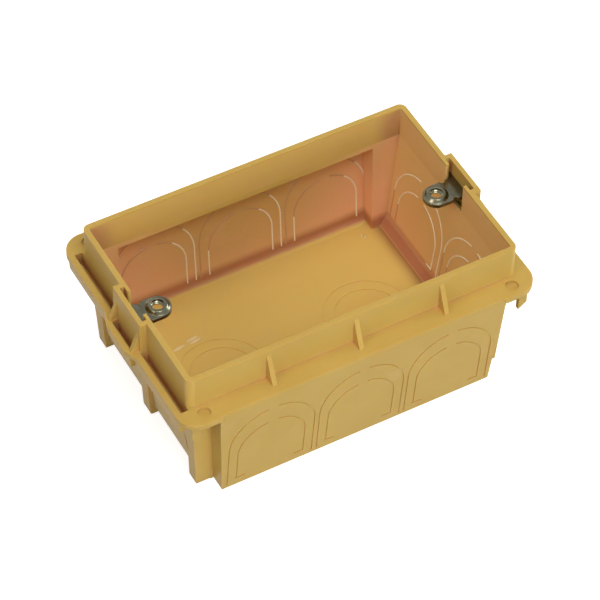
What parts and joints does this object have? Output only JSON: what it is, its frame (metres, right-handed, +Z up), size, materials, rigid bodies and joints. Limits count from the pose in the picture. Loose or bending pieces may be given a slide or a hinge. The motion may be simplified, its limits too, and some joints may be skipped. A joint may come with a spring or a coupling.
{
  "type": "flush back box",
  "caption": "Rectangular flush-mounting electrical back box in yellow resin, with knockouts, corner ears and steel screw lugs.",
  "frame": {"origin": "middle of the floor's underside", "axes": "+Z up out of the open mouth, +X along the long side, +Y across"},
  "size_m": [0.1084, 0.0732, 0.045],
  "materials": {
    "resin": "satin, as moulded",
    "zinc_steel": "zinc plated"
  },
  "bodies": {
    "root": {"back_box": "resin", "fixing_lug_left": "zinc_steel", "fixing_lug_right": "zinc_steel"}
  },
  "joints": []
}
